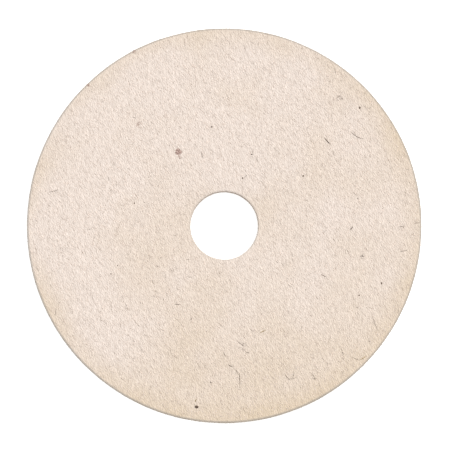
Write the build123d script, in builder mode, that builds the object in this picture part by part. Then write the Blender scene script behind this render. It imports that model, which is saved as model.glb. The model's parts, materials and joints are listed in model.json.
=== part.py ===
from build123d import *
import os

# A felt polishing wheel: one disc die-cut from a sheet of hard pressed wool felt,
# with a plain round hole for the machine's arbor. It lies on its back face at
# z = 0, its front face up, and it turns about +Z through the middle of the hole.

# Driving dimensions, mm
wheel_diameter = 150.0    # sold as a 6 in wheel
felt_thickness = 9.5      # 3/8 in felt
arbor_diameter = 25.4     # the 1 in arbor of a lapidary machine
arbor_clearance = 0.4     # on the diameter, so that the wheel slides on by hand
rim_easing = 0.25         # the rim's edges, softened by the die and by handling
bore_easing = 0.2         # the hole's edges, which are crisper

bore_diameter = arbor_diameter + arbor_clearance

with BuildPart() as felt_disc:
    with BuildSketch():
        Circle(wheel_diameter / 2)
        Circle(bore_diameter / 2, mode=Mode.SUBTRACT)
    extrude(amount=felt_thickness)
    edge_rings = felt_disc.edges().filter_by(GeomType.CIRCLE).group_by(SortBy.RADIUS)
    bore_edges, rim_edges = edge_rings[0], edge_rings[-1]
    fillet(rim_edges, rim_easing)
    fillet(bore_edges, bore_easing)

felt_disc.part.label = "felt_disc"

os.makedirs("parts", exist_ok=True)
export_step(felt_disc.part, "parts/felt_disc.step")

print(f"wheel {wheel_diameter:.1f} x {felt_thickness:.1f} mm, bore {bore_diameter:.1f} mm")
print(f"bore wall {felt_thickness - 2 * bore_easing:.2f} mm long, volume {felt_disc.part.volume / 1000:.1f} cm3")
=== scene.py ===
import json
import math
import random

import bmesh
import bpy
from mathutils import Matrix, Vector, noise


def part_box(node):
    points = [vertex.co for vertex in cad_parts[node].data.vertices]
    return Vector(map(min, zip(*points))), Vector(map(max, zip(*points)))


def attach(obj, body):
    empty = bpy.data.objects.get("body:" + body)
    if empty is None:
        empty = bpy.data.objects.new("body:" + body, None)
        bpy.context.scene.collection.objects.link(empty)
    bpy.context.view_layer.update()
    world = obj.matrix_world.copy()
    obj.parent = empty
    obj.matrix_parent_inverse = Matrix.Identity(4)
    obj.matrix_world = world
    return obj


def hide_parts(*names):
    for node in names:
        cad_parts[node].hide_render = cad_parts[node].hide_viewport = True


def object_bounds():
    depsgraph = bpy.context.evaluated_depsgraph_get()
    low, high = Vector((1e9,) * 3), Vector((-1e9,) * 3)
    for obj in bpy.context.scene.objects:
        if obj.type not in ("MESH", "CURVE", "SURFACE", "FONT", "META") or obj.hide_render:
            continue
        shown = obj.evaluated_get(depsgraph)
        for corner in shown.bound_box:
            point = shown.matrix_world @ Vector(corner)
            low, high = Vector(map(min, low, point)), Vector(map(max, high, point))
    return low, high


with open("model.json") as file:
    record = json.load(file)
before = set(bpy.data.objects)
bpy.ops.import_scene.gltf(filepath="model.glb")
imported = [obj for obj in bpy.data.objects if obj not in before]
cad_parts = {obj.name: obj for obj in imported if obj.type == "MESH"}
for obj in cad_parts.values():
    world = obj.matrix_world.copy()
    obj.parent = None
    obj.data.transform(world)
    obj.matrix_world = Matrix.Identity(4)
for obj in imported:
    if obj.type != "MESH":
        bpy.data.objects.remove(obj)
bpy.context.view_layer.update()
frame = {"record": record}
print("frame loaded")

mm = 0.001
discLow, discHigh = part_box("felt_disc")
rimRadius = (discHigh.x - discLow.x) / 2
thickness = discHigh.z - discLow.z
arborBore = next(m for m in frame["record"]["mounts"] if m["name"] == "arbor_bore")
boreRadius = arborBore["dims"]["r_mm"] * mm
grain = math.radians(113)  # the way most fibres lie, from +X


def hexLinear(code):
    channels = [int(code[i:i + 2], 16) / 255 for i in (1, 3, 5)]
    return (*(c / 12.92 if c <= 0.04045 else ((c + 0.055) / 1.055) ** 2.4 for c in channels), 1)


def addNode(tree, kind, inputs=None, **settings):
    node = tree.nodes.new("ShaderNode" + kind)
    for name, value in settings.items():
        setattr(node, name, value)
    for socket, value in (inputs or {}).items():
        if isinstance(value, bpy.types.NodeSocket):
            tree.links.new(value, node.inputs[socket])
        else:
            node.inputs[socket].default_value = value
    return node


def newMaterial(name):
    material = bpy.data.materials.new(name)
    material.use_nodes = True
    material.node_tree.nodes.clear()
    return material, material.node_tree


# Pressed wool felt: undyed sheep's wool, matted wet, pressed hard and die-cut. The eye gets a matte cream
# surface of fine crossing hairlines, most of them one way, pinker in places and straw near the rim.

felt = {
    # The shade tones are partly the wool's own darker fibre and partly painted shade in the gaps between
    # fibres.
    "palePink": "#E7DAD0",
    "shadePink": "#C0B3A9",
    "paleStraw": "#DBCAB4",
    "shadeStraw": "#B5A48F",
    "paintedEdgeShade": "#8E8A85",          # painted shade: a dark line along the edge that the die cut
    "paintedEdgeShadeReach": 0.8 * mm,
    "paintedEdgeShadeTint": (0.10, 0.55),   # on the wall's middle and at its corners
    "boreEdgeShade": 0.35,              # the share of that painted shade that the hole's edge gets
    "rimDriftReach": 9 * mm,        # the colour turns darker and more straw-coloured over this far in from the rim
    "rimDriftShare": -0.5,          # by this share of the drift, toward straw
    "strandSpacing": 0.80 * mm,    # wool is 0.03 mm thick, so this is drawn coarse enough to show
    "strandDepth": 5 * mm,
    "strandRatio": 2.2,            # bends are this much longer than they are wide
    "strandBreaks": 7.0,           # how far a strand is pushed aside, which breaks it up
    "breakScale": 2.65,            # how close together the breaks come
    "strandLays": ((0, 0.40), (0.45, 0.30), (-0.45, 0.30)),  # turn off the grain, and share
    "layerLength": 1.3 * mm,       # the cut wall shows the felt's layers end on
    "layerDepth": 0.24 * mm,
    "layerRange": (0.40, 0.60),
    "faceTilt": (0.3, 0.8),        # from wall to face, by how far the surface looks up or down
    "wanderEvery": 12 * mm,
    "wanderBy": 1.4 * mm,
    "bumpHeight": 0.06 * mm,
    "patchSize": 24 * mm,
    "patchShare": 1.3,
    "driftPerMetre": (-2.0, 3.8, 0),
    "strawToPink": (-0.15, 0.85),
    "roughness": 0.92,
    "ior": 1.54,
    "specular": 0.15,
}
# Where the wool is pinker (+) or more straw-coloured (-) than around it: x, y and reach in mm,
# and how much.
woolPatches = [(16, -64, 32, -0.35), (-22, 70, 26, -0.30), (-50, -42, 34, 0.35),
               (-72, -5, 30, 0.35), (66, 5, 22, 0.15)]


def strands(tree, coords, turn):
    across = felt["strandSpacing"] * 20 / math.tau  # a wave texture repeats 20 / tau times in one unit
    laid = addNode(tree, "Mapping", {
        "Vector": coords, "Rotation": (0, 0, grain + turn),
        "Scale": (across * felt["strandRatio"], across, felt["strandDepth"])}, vector_type="TEXTURE")
    return addNode(tree, "TexWave", {
        "Vector": laid.outputs[0], "Scale": 1.0, "Distortion": felt["strandBreaks"],
        "Detail": 1.0, "Detail Scale": felt["breakScale"]}, bands_direction="Y").outputs["Fac"]


def weighted(tree, parts):
    total = 0.0
    for socket, weight in parts:
        total = addNode(tree, "Math", {0: socket, 1: weight, 2: total}, operation="MULTIPLY_ADD").outputs[0]
    return total


def makeFelt():
    material, tree = newMaterial("pressed_wool_felt")
    coords = addNode(tree, "TexCoord")
    place = coords.outputs["Object"]
    wander = addNode(tree, "TexNoise", {"Vector": place, "Scale": 1 / felt["wanderEvery"], "Detail": 2.0})
    centred = addNode(tree, "VectorMath", {0: wander.outputs["Color"], 1: (0.5, 0.5, 0.5)},
                      operation="SUBTRACT").outputs[0]
    bent = addNode(tree, "VectorMath", {0: centred, 1: (felt["wanderBy"], felt["wanderBy"], 0), 2: place},
                   operation="MULTIPLY_ADD").outputs[0]
    crossing = [(strands(tree, bent, turn), share) for turn, share in felt["strandLays"]]
    layerScale = (1 / felt["layerLength"], 1 / felt["layerLength"], 1 / felt["layerDepth"])
    layered = addNode(tree, "VectorMath", {0: place, 1: layerScale}, operation="MULTIPLY").outputs[0]
    layers = addNode(tree, "TexNoise", {"Vector": layered, "Scale": 1.0, "Detail": 2.0}).outputs["Fac"]
    low, high = felt["layerRange"]
    layers = addNode(tree, "MapRange", {"Value": layers, "From Min": low, "From Max": high}).outputs["Result"]
    upward = addNode(tree, "SeparateXYZ", {0: coords.outputs["Normal"]}).outputs["Z"]
    facing = addNode(tree, "Math", {0: upward}, operation="ABSOLUTE").outputs[0]
    low, high = felt["faceTilt"]
    faceOn = addNode(tree, "MapRange", {"Value": facing, "From Min": low, "From Max": high}).outputs["Result"]
    tone = addNode(tree, "Mix", {0: faceOn, 2: layers, 3: weighted(tree, crossing)}).outputs[0]

    # The colour drifts from lighter pink at the upper left to darker straw at the lower right and toward the
    # rim.
    across = addNode(tree, "VectorMath", {0: place, 1: felt["driftPerMetre"]},
                     operation="DOT_PRODUCT").outputs["Value"]
    patch = addNode(tree, "TexNoise", {"Vector": place, "Scale": 1 / felt["patchSize"], "Detail": 3.0})
    flat = addNode(tree, "VectorMath", {0: place, 1: (1, 1, 0)}, operation="MULTIPLY").outputs[0]
    radius = addNode(tree, "VectorMath", {0: flat}, operation="LENGTH").outputs["Value"]
    towardRim = addNode(tree, "MapRange", {
        "Value": radius, "From Min": rimRadius - felt["rimDriftReach"],
        "From Max": rimRadius}).outputs["Result"]
    spots = []
    for x, y, reach, amount in woolPatches:
        away = addNode(tree, "VectorMath", {0: flat, 1: (x * mm, y * mm, 0)}, operation="DISTANCE")
        near = addNode(tree, "MapRange", {
            "Value": away.outputs["Value"], "From Min": reach * mm, "From Max": 0.0},
            interpolation_type="SMOOTHSTEP")
        spots.append((near.outputs["Result"], amount))
    drift = weighted(tree, [(across, 1.0), (patch.outputs["Fac"], felt["patchShare"]),
                            (towardRim, felt["rimDriftShare"])] + spots)
    low, high = felt["strawToPink"]
    pinkness = addNode(tree, "MapRange", {"Value": drift, "From Min": low, "From Max": high}).outputs[0]
    pale = addNode(tree, "Mix", {
        0: pinkness, 6: hexLinear(felt["paleStraw"]), 7: hexLinear(felt["palePink"])},
        data_type="RGBA").outputs[2]
    shade = addNode(tree, "Mix", {
        0: pinkness, 6: hexLinear(felt["shadeStraw"]), 7: hexLinear(felt["shadePink"])},
        data_type="RGBA").outputs[2]
    # pale to shade along the streaks: partly the wool's own tone, partly painted shade between the fibres
    wool = addNode(tree, "Mix", {0: tone, 6: shade, 7: pale}, data_type="RGBA").outputs[2]

    # Painted shade: a dark line along the cut edge, round the rim and round the hole, most of it at the
    # corners.
    reach = felt["paintedEdgeShadeReach"]
    atRim = addNode(tree, "MapRange", {
        "Value": radius, "From Min": rimRadius - reach, "From Max": rimRadius - reach / 2}).outputs["Result"]
    atBore = addNode(tree, "MapRange", {
        "Value": radius, "From Min": boreRadius + reach / 2, "From Max": boreRadius + reach,
        "To Min": felt["boreEdgeShade"], "To Max": 0.0}).outputs["Result"]
    paintedShadeBand = addNode(tree, "Math", {0: atRim, 1: atBore}, operation="MAXIMUM").outputs[0]
    height = addNode(tree, "SeparateXYZ", {0: place}).outputs["Z"]
    fromMiddle = addNode(tree, "Math", {0: height, 1: thickness / 2}, operation="SUBTRACT").outputs[0]
    fromMiddle = addNode(tree, "Math", {0: fromMiddle}, operation="ABSOLUTE").outputs[0]
    atCorner = addNode(tree, "MapRange", {
        "Value": fromMiddle, "From Min": thickness / 2 - reach, "From Max": thickness / 2,
        "To Min": felt["paintedEdgeShadeTint"][0], "To Max": felt["paintedEdgeShadeTint"][1]}).outputs["Result"]
    # how much painted edge shade each point gets
    edge = addNode(tree, "Math", {0: paintedShadeBand, 1: atCorner}, operation="MULTIPLY").outputs[0]
    colour = addNode(tree, "Mix", {0: edge, 6: wool, 7: hexLinear(felt["paintedEdgeShade"])},
                     data_type="RGBA").outputs[2]
    bump = addNode(tree, "Bump", {"Height": tone, "Strength": 1.0, "Distance": felt["bumpHeight"]})
    shader = addNode(tree, "BsdfPrincipled", {
        "Base Color": colour, "Normal": bump.outputs["Normal"], "Roughness": felt["roughness"],
        "IOR": felt["ior"], "Specular IOR Level": felt["specular"]})
    addNode(tree, "OutputMaterial", {"Surface": shader.outputs["BSDF"]})
    return material


feltMaterial = makeFelt()
print("felt material made")

# The disc: its outline spun round the axis, the edges eased, and the surface left a little uneven.

discShape = {
    "around": 720,
    "faceRings": 100,
    "wallRings": 16,
    "edgeEasing": 0.22 * mm,
    "edgeSegments": 3,
    "swell": 0.06 * mm,    # the pressed faces rise and fall this much
    "swellEvery": 16 * mm,
    "clump": 0.02 * mm,    # clumps of fibre, which lie along the grain
    "clumpSize": (3 * mm, 1.1 * mm, 1.0 * mm),
    "layers": 0.07 * mm,   # only on the cut walls
    "layerSize": (7 * mm, 7 * mm, 0.9 * mm),
}


def noiseAt(p, size):
    return noise.noise(Vector([c / s for c, s in zip(p, size)]))


def relief(p, wallShare=0.0):
    swell = noise.fractal(p / discShape["swellEvery"], 1.0, 2.0, 2)
    clump = noiseAt(Matrix.Rotation(-grain, 3, "Z") @ p, discShape["clumpSize"])
    layers = noiseAt(p, discShape["layerSize"])
    return swell * discShape["swell"] + clump * discShape["clump"] + layers * discShape["layers"] * wallShare


def makeDisc():
    bm = bmesh.new()
    corners = [bm.verts.new((r, 0, z)) for r, z in ((boreRadius, 0), (rimRadius, 0),
                                                    (rimRadius, thickness), (boreRadius, thickness))]
    outline = [bm.edges.new((corners[i], corners[(i + 1) % 4])) for i in range(4)]
    bmesh.ops.spin(bm, geom=corners + outline, axis=(0, 0, 1), cent=(0, 0, 0), angle=math.tau,
                   steps=discShape["around"], use_merge=True)
    bmesh.ops.remove_doubles(bm, verts=bm.verts, dist=1e-6)
    bmesh.ops.recalc_face_normals(bm, faces=bm.faces)
    edges = [e for e in bm.edges if len(e.link_faces) == 2 and e.calc_face_angle() > 1.0]
    bmesh.ops.bevel(bm, geom=edges, offset=discShape["edgeEasing"], affect="EDGES",
                    segments=discShape["edgeSegments"], profile=0.5, material=-1)
    tall = [e for e in bm.edges if abs(e.verts[0].co.z - e.verts[1].co.z) > thickness / 2]
    wide = [e for e in bm.edges if abs(e.verts[0].co.xy.length - e.verts[1].co.xy.length) > rimRadius / 2]
    bmesh.ops.subdivide_edges(bm, edges=tall, cuts=discShape["wallRings"] - 1, use_grid_fill=True)
    bmesh.ops.subdivide_edges(bm, edges=wide, cuts=discShape["faceRings"] - 1, use_grid_fill=True)
    bm.normal_update()
    moves = [v.normal * relief(v.co, 1 - abs(v.normal.z)) for v in bm.verts]
    for v, move in zip(bm.verts, moves):
        v.co += move
    mesh = bpy.data.meshes.new("felt_wheel")
    bm.to_mesh(mesh)
    bm.free()
    mesh.shade_smooth()
    mesh.materials.append(feltMaterial)
    wheel = bpy.data.objects.new("felt_wheel", mesh)
    bpy.context.scene.collection.objects.link(wheel)
    return wheel


disc = makeDisc()
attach(disc, "root")
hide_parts("felt_disc")
print("disc made", len(disc.data.polygons))

# Loose fibres: a three-sided tube each, thin at its ends, which dips into the felt at both.

fibreSteps = 4
fibreSides = 3
fibreTip = 0.25  # how thick its ends are, as a share of its middle
fibreSection = bpy.data.curves.new("fibre_section", "CURVE")
fibreSection.dimensions = "2D"
triangle = fibreSection.splines.new("POLY")
triangle.points.add(fibreSides - 1)
for i, point in enumerate(triangle.points):
    point.co = (math.cos(math.tau * i / fibreSides), math.sin(math.tau * i / fibreSides), 0, 1)
triangle.use_cyclic_u = True
sectionObject = bpy.data.objects.new("fibre_section", fibreSection)


def onFace(side):
    def place(u, v, h):
        base = Vector((u, v, thickness if side > 0 else 0))
        return base + Vector((0, 0, side * (h + relief(base))))
    return place


def onWall(radius, side):
    def place(u, v, h):
        angle = u / radius
        out = Vector((math.cos(angle), math.sin(angle), 0))
        base = out * radius + Vector((0, 0, v))
        return base + out * side * (h + relief(base, 1.0))
    return place


def fibrePath(rng, place, start, heading, length, curl, ends, middle, lifted=False, wobble=0.12):
    u, v = start
    points = []
    for i in range(fibreSteps + 1):
        t = i / fibreSteps
        arch = t ** 1.5 if lifted else math.sin(math.pi * t)
        points.append(place(u, v, ends + (middle - ends) * arch))
        heading += curl / fibreSteps + rng.gauss(0, wobble)
        u += math.cos(heading) * length / fibreSteps
        v += math.sin(heading) * length / fibreSteps
    return points


def fibrePiece(name, paths, thick, material):
    curve = bpy.data.curves.new(name, "CURVE")
    curve.dimensions = "3D"
    curve.bevel_mode = "OBJECT"
    curve.bevel_object = sectionObject
    curve.use_fill_caps = True
    for points, size in paths:
        spline = curve.splines.new("POLY")
        spline.points.add(len(points) - 1)
        for i, point in enumerate(points):
            full = math.sin(math.pi * i / (len(points) - 1))
            spline.points[i].co = (*point, 1)
            spline.points[i].radius = thick * size * (fibreTip + (1 - fibreTip) * full)
    source = bpy.data.objects.new(name, curve)
    bpy.context.scene.collection.objects.link(source)
    mesh = bpy.data.meshes.new_from_object(source.evaluated_get(bpy.context.evaluated_depsgraph_get()))
    bpy.data.objects.remove(source)
    bpy.data.curves.remove(curve)
    piece = bpy.data.objects.new(name, mesh)
    bpy.context.scene.collection.objects.link(piece)
    mesh.shade_smooth()
    mesh.materials.clear()
    mesh.materials.append(material)
    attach(piece, "root")
    print(name, len(mesh.polygons))


# A single hair is smoother than the matted felt, so it catches a little more light, and its colour varies
# along it.

fibreLook = {
    "varyEvery": 0.7 * mm,
    "varyRange": (0.35, 0.65),
    "roughness": 0.6,
    "specular": 0.3,
}


def makeFibreMaterial(name, pale, dark):
    material, tree = newMaterial(name)
    place = addNode(tree, "TexCoord").outputs["Object"]
    vary = addNode(tree, "TexNoise", {"Vector": place, "Scale": 1 / fibreLook["varyEvery"], "Detail": 1.0})
    low, high = fibreLook["varyRange"]
    tone = addNode(tree, "MapRange", {"Value": vary.outputs["Fac"], "From Min": low, "From Max": high})
    colour = addNode(tree, "Mix", {0: tone.outputs["Result"], 6: hexLinear(dark), 7: hexLinear(pale)},
                     data_type="RGBA").outputs[2]
    shader = addNode(tree, "BsdfPrincipled", {
        "Base Color": colour, "Roughness": fibreLook["roughness"], "IOR": felt["ior"],
        "Specular IOR Level": fibreLook["specular"]})
    addNode(tree, "OutputMaterial", {"Surface": shader.outputs["BSDF"]})
    return material


cutFibre = makeFibreMaterial("cut_wool_fibre", "#EFE1D3", "#D2C3B4")    # cut ends on the walls, a bit dusty
woolFibre = makeFibreMaterial("wool_fibre", "#F7EAE0", "#E6D8CD")       # clean wool, paler than the felt
tanFibre = makeFibreMaterial("tan_wool_fibre", "#B9A999", "#9E9083")    # stained wool, faint tan lines
darkHair = makeFibreMaterial("dark_kemp_hair", "#6B5646", "#3A2E28")    # coarse brown-black hairs and bits
strawHair = makeFibreMaterial("straw_fragment", "#B49A62", "#7F6A3C")   # dry yellow plant stems
redTuft = makeFibreMaterial("red_brown_tuft", "#CFB3A9", "#AC8E83")     # reddish wool from a spotted fleece
greyTuft = makeFibreMaterial("grey_brown_tuft", "#9A8D84", "#6E625B")   # grey wool, a smudge more than a mark

faceFibres = {
    "count": 6000,
    "length": (1.0 * mm, 3.8 * mm, 1.4 * mm),  # least, most and usual
    "thick": 0.042 * mm,       # real wool is a little thinner, and wouldn't show
    "ends": -0.015 * mm,
    "middle": (0.015 * mm, 0.085 * mm),
    "spread": 0.18,
    "crossing": 0.06,
    "curl": 0.5,
    "flow": 0.3,               # how far the grain itself swings
    "flowEvery": 14 * mm,
    "scatter": 0.5 * mm,
    "margin": 0.3 * mm,
    "size": (0.5, 1.7, 0.7),   # least, most and usual
    "tanEvery": 5,
    "tanThick": 0.035 * mm,
}


def faceFibrePaths(seed, side):
    rng = random.Random(seed)
    place = onFace(side)
    count = faceFibres["count"]
    margin = faceFibres["margin"]
    goldenAngle = math.pi * (3 - math.sqrt(5))  # spreads the starts evenly
    turned = rng.uniform(0, math.tau)
    paths = []
    for i in range(count):
        radius = math.sqrt(boreRadius ** 2 + (rimRadius ** 2 - boreRadius ** 2) * (i + rng.random()) / count)
        angle = i * goldenAngle + turned + rng.gauss(0, faceFibres["scatter"]) / radius
        start = (radius * math.cos(angle), radius * math.sin(angle))
        flow = noise.noise(Vector((start[0], start[1], side)) / faceFibres["flowEvery"]) * faceFibres["flow"]
        heading = rng.gauss(grain + flow, faceFibres["spread"]) + rng.choice((0, math.pi))
        if rng.random() < faceFibres["crossing"]:
            heading = rng.uniform(0, math.tau)
        length = rng.triangular(*faceFibres["length"])
        curl = rng.gauss(0, faceFibres["curl"])
        top = rng.uniform(*faceFibres["middle"])
        points = fibrePath(rng, place, start, heading, length, curl, faceFibres["ends"], top)
        if all(boreRadius + margin < p.xy.length < rimRadius - margin for p in points):
            paths.append((points, rng.triangular(*faceFibres["size"])))
    return paths


fibrePiece("front_fibres_a", faceFibrePaths(1, 1), faceFibres["thick"], woolFibre)
fibrePiece("front_fibres_b", faceFibrePaths(2, 1), faceFibres["thick"], woolFibre)
fibrePiece("front_fibres_c", faceFibrePaths(13, 1), faceFibres["thick"], woolFibre)
tanPaths = faceFibrePaths(12, 1)[::faceFibres["tanEvery"]]
fibrePiece("front_fibres_tan", tanPaths, faceFibres["tanThick"], tanFibre)
fibrePiece("back_fibres", faceFibrePaths(3, -1), faceFibres["thick"], woolFibre)

wallFibres = {
    "length": (0.6 * mm, 2.4 * mm),
    "ends": -0.02 * mm,
    "middle": (-0.01 * mm, 0.04 * mm),
    "spread": 0.3,
    "curl": 0.5,
    "size": (0.6, 1.2),
    "cutShare": 0.4,            # fibres that the die cut, which stand out from the wall
    "cutLength": (0.2 * mm, 0.6 * mm),
    "cutEnd": (0.06 * mm, 0.28 * mm),
    "thick": 0.04 * mm,
    "margin": 0.5 * mm,
    "rimCount": 4500,
    "boreCount": 800,
}


def wallFibrePaths(seed, radius, side, count):
    rng = random.Random(seed)
    place = onWall(radius, side)
    margin = wallFibres["margin"]
    paths = []
    while len(paths) < count:
        start = (rng.uniform(0, math.tau * radius), rng.uniform(margin, thickness - margin))
        cut = rng.random() < wallFibres["cutShare"]
        heading = rng.choice((0, math.pi)) + rng.gauss(0, wallFibres["spread"])
        length = rng.uniform(*wallFibres["cutLength" if cut else "length"])
        top = rng.uniform(*wallFibres["cutEnd" if cut else "middle"])
        points = fibrePath(rng, place, start, heading, length, rng.gauss(0, wallFibres["curl"]),
                           wallFibres["ends"], top, lifted=cut)
        if all(margin / 2 < p.z < thickness - margin / 2 for p in points):
            paths.append((points, rng.uniform(*wallFibres["size"])))
    return paths


rimPaths = wallFibrePaths(4, rimRadius, 1, wallFibres["rimCount"])
borePaths = wallFibrePaths(5, boreRadius, -1, wallFibres["boreCount"])
fibrePiece("rim_fibres", rimPaths, wallFibres["thick"], cutFibre)
fibrePiece("bore_fibres", borePaths, wallFibres["thick"], cutFibre)

# Dark hairs that came with the fleece. For each one: where it starts, in mm from the middle of the wheel,
# the way it runs in degrees, its length in mm, how far it turns in degrees, its size.

hairs = [
    (48.0, 35.8, -58, 6.0, 50, 1.1), (38.0, 33.5, -52, 3.6, 10, 2.2), (47.8, -1.8, 52, 1.8, 0, 1.9),
    (36.8, -18.5, -35, 2.2, 10, 1.2), (4.2, -54.8, -35, 1.8, -40, 1.0), (5.6, -55.8, -85, 6.0, -5, 1.1),
    (1.4, -52.8, -55, 2.4, 65, 1.2), (-0.3, -48.2, -72, 2.0, 10, 1.1), (-19.0, -30.0, 2, 2.4, 0, 0.9),
    (-64.0, -31.5, -84, 3.0, -20, 0.8), (-66.8, 12.6, 16, 4.0, -8, 0.9), (66.5, -0.6, 55, 2.2, -110, 1.1),
    (66.5, -10.0, 8, 3.4, 8, 0.9), (72.2, 0.8, 4, 2.2, 0, 0.9), (56.0, -33.0, -86, 9.0, 4, 0.5),
    (-8.8, 28.2, -80, 2.8, 10, 0.9), (23.0, -56.5, -65, 2.6, 40, 0.8), (24.5, -58.5, 5, 3.0, 25, 0.8),
    (26.5, -55.5, -85, 2.6, -25, 0.7), (4.5, -43.5, -48, 3.6, 10, 0.8), (8.0, -48.0, -30, 1.8, 30, 0.9),
    (42.0, 60.0, -80, 2.0, 0, 0.7), (44.5, -47.0, -70, 2.5, 0, 0.9),
]
# Specks: where each one is and how wide, in mm.
specks = [
    (51.5, 44.8, 0.80), (-34.2, 8.5, 0.60), (-4.8, 37.5, 0.60), (10.4, 27.0, 0.60), (7.0, 18.0, 0.60),
    (30.0, 18.8, 0.60), (59.8, -22.0, 0.80), (-5.2, -59.6, 0.60), (-12.6, -35.6, 0.50), (-40.5, -15.3, 0.45),
    (-43.0, -18.4, 0.45), (50.8, 10.2, 0.55), (-10.5, -69.0, 1.20), (68.8, 12.4, 0.45), (71.0, -11.5, 0.35),
    (52.4, -11.6, 0.50), (55.4, 43.2, 0.35), (51.2, -26.6, 0.60), (31.0, -24.5, 0.45), (55.0, -44.0, 0.45),
]
hairLook = {
    "thick": 0.08 * mm,
    "ends": 0.07 * mm,
    "middle": 0.12 * mm,
    "wobble": 0.04,
    "strayCount": 60,           # faint ones, anywhere on the face
    "strayLength": (0.8, 2.4),  # mm
    "strayCurl": 1.0,
    "strayEnds": 0.01 * mm,
    "strayMiddle": 0.06 * mm,
    "straySize": (0.3, 0.7),
    "strayMargin": 1 * mm,
}


def hairPaths(seed):
    rng = random.Random(seed)
    place = onFace(1)
    paths = []
    for x, y, way, length, turn, size in hairs:
        points = fibrePath(rng, place, (x * mm, y * mm), math.radians(way), length * mm, math.radians(turn),
                           hairLook["ends"], hairLook["middle"], wobble=hairLook["wobble"])
        paths.append((points, size))
    return paths


def strayPaths(seed, side):
    rng = random.Random(seed)
    place = onFace(side)
    margin = hairLook["strayMargin"]
    paths = []
    while len(paths) < hairLook["strayCount"]:
        start = (rng.uniform(-rimRadius, rimRadius), rng.uniform(-rimRadius, rimRadius))
        heading = rng.uniform(0, math.tau)
        length = rng.uniform(*hairLook["strayLength"]) * mm
        points = fibrePath(rng, place, start, heading, length, rng.gauss(0, hairLook["strayCurl"]),
                           hairLook["strayEnds"], hairLook["strayMiddle"])
        if all(boreRadius + margin < p.xy.length < rimRadius - margin for p in points):
            paths.append((points, rng.uniform(*hairLook["straySize"])))
    return paths


fibrePiece("dark_hairs_front", hairPaths(6) + strayPaths(7, 1), hairLook["thick"], darkHair)
fibrePiece("dark_hairs_back", strayPaths(8, -1), hairLook["thick"], darkHair)

# Knots of coloured wool worked into the felt: the middle of each, in mm, how wide it is and its fibres.

redKnots = [(-17.5, 28.0, 2.3, 110), (-17.0, 25.9, 1.2, 6), (-32.4, 38.2, 2.4, 12), (-34.4, 66.3, 1.2, 12),
            (-51.9, 53.3, 1.2, 12)]
greyKnots = [(43.8, 48.6, 2.0, 22), (52.4, -11.6, 1.6, 16), (33.9, -57.7, 2.0, 16), (7.0, -46.0, 3.6, 18),
             (-61.0, -10.0, 4.0, 16)]
knotLook = {
    "length": (0.4, 1.2),  # mm
    "curl": 0.8,
    "ends": 0.06 * mm,
    "middle": 0.10 * mm,
    "size": (0.6, 1.1),
    "redThick": 0.06 * mm,
    "greyThick": 0.035 * mm,
}


def knotPaths(seed, knots):
    rng = random.Random(seed)
    place = onFace(1)
    paths = []
    for x, y, width, count in knots:
        for _ in range(count):
            angle = rng.uniform(0, math.tau)
            out = width / 2 * math.sqrt(rng.random())
            length = rng.uniform(*knotLook["length"])
            heading = rng.uniform(0, math.tau)
            start = ((x + out * math.cos(angle) - length / 2 * math.cos(heading)) * mm,
                     (y + out * math.sin(angle) - length / 2 * math.sin(heading)) * mm)
            points = fibrePath(rng, place, start, heading, length * mm, rng.gauss(0, knotLook["curl"]),
                               knotLook["ends"], knotLook["middle"])
            paths.append((points, rng.uniform(*knotLook["size"])))
    return paths


fibrePiece("red_brown_knots", knotPaths(9, redKnots), knotLook["redThick"], redTuft)
fibrePiece("grey_knots", knotPaths(14, greyKnots), knotLook["greyThick"], greyTuft)

# Bits of dry stem: where each one starts in mm, the way it runs, its length in mm and how far it turns.

strawBits = [(13.5, -40.9, 35, 2.7, 5), (-11.2, -67.2, 70, 1.6, 20), (51.5, -51.0, 14, 3.0, 5)]
strawLook = {"thick": 0.08 * mm, "size": 1.8, "ends": 0.06 * mm, "middle": 0.11 * mm}


def strawPaths(seed):
    rng = random.Random(seed)
    place = onFace(1)
    paths = []
    for x, y, way, length, turn in strawBits:
        points = fibrePath(rng, place, (x * mm, y * mm), math.radians(way), length * mm, math.radians(turn),
                           strawLook["ends"], strawLook["middle"])
        paths.append((points, strawLook["size"]))
    return paths


fibrePiece("straw_bits", strawPaths(10), strawLook["thick"], strawHair)

speckLook = {
    "height": 0.11 * mm,
    "long": (0.8, 1.2),
    "wide": (0.5, 0.9),
    "flat": 0.25,
    "dents": 0.5,
    "dentSize": 0.2 * mm,
}


def makeSpecks():
    rng = random.Random(11)
    place = onFace(1)
    bm = bmesh.new()
    for x, y, size in specks:
        at = place(x * mm, y * mm, speckLook["height"])
        turn = Matrix.Rotation(rng.uniform(0, math.pi), 4, "Z")
        squash = Matrix.Diagonal((rng.uniform(*speckLook["long"]), rng.uniform(*speckLook["wide"]),
                                  speckLook["flat"], 1))
        made = bmesh.ops.create_icosphere(bm, subdivisions=2, radius=size / 2 * mm,
                                          matrix=Matrix.Translation(at) @ turn @ squash)
        for v in made["verts"]:
            v.co += (v.co - at) * speckLook["dents"] * noise.noise(v.co / speckLook["dentSize"])
    mesh = bpy.data.meshes.new("dark_specks")
    bm.to_mesh(mesh)
    bm.free()
    mesh.shade_smooth()
    mesh.materials.append(darkHair)
    piece = bpy.data.objects.new("dark_specks", mesh)
    bpy.context.scene.collection.objects.link(piece)
    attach(piece, "root")


makeSpecks()
print("specks made", len(specks))

# Floor, light and camera. The floor is white card that glows to the camera alone, so it stays pure white.

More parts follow.
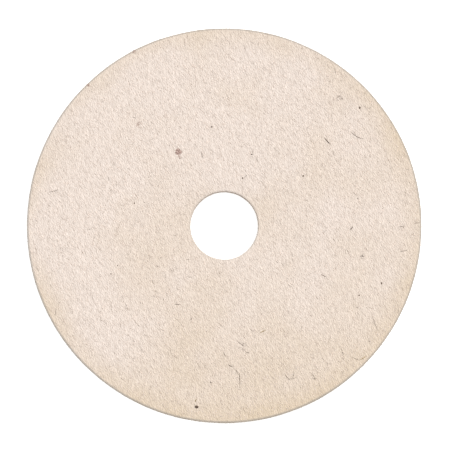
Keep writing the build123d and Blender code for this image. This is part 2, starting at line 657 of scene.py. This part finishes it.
studio = {
    "cardSize": 8,
    "cardGrey": (0.8, 0.8, 0.8, 1),
    "cardGlow": 0.7,
    "cardRoughness": 0.9,
    "skyStrength": 0.73,
    "sunStrength": 2.65,
    "sunSpread": math.radians(25),
    "sunFrom": (0.6, 0.75, 1.0),
    "lens": 883,
    "sensor": 36,
    "clip": (0.1, 20),
    "distance": 4.2,
    "lean": math.radians(1.7),     # off the wheel's axis
    "leanFrom": math.radians(6),
    "aim": (0.28 * mm, 0.29 * mm, thickness / 2),
}
floorMesh = bpy.data.meshes.new("floor")
bm = bmesh.new()
bmesh.ops.create_grid(bm, x_segments=1, y_segments=1, size=studio["cardSize"])
bm.to_mesh(floorMesh)
bm.free()
floor = bpy.data.objects.new("floor", floorMesh)
floor.location.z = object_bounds()[0].z
bpy.context.scene.collection.objects.link(floor)
floorMaterial, tree = newMaterial("white_card")
path = addNode(tree, "LightPath")
lift = addNode(tree, "Math", {0: path.outputs["Is Camera Ray"], 1: studio["cardGlow"]}, operation="MULTIPLY")
card = addNode(tree, "BsdfPrincipled", {
    "Base Color": studio["cardGrey"], "Roughness": studio["cardRoughness"],
    "Emission Strength": lift.outputs[0], "Emission Color": (1, 1, 1, 1)})
addNode(tree, "OutputMaterial", {"Surface": card.outputs["BSDF"]})
floorMesh.materials.append(floorMaterial)

world = bpy.data.worlds.new("studio")
bpy.context.scene.world = world
world.use_nodes = True
world.node_tree.nodes["Background"].inputs["Color"].default_value = (1, 1, 1, 1)
world.node_tree.nodes["Background"].inputs["Strength"].default_value = studio["skyStrength"]

sun = bpy.data.lights.new("key_light", "SUN")
sun.energy = studio["sunStrength"]
sun.angle = studio["sunSpread"]
keyLight = bpy.data.objects.new("key_light", sun)
keyLight.rotation_euler = Vector(studio["sunFrom"]).to_track_quat("Z", "Y").to_euler()
bpy.context.scene.collection.objects.link(keyLight)

bpy.context.scene.view_settings.view_transform = "Standard"

cameraData = bpy.data.cameras.new("camera")
cameraData.lens = studio["lens"]
cameraData.sensor_width = studio["sensor"]
cameraData.clip_start, cameraData.clip_end = studio["clip"]
camera = bpy.data.objects.new("camera", cameraData)
sideways, leanFrom = math.sin(studio["lean"]), studio["leanFrom"]
back = Vector((-sideways * math.sin(leanFrom), -sideways * math.cos(leanFrom), math.cos(studio["lean"])))
camera.location = Vector(studio["aim"]) + back * studio["distance"]
camera.rotation_mode = "QUATERNION"
camera.rotation_quaternion = Vector((0, 0, 1)).rotation_difference(back)
bpy.context.scene.collection.objects.link(camera)
bpy.context.scene.camera = camera

print("stage set")
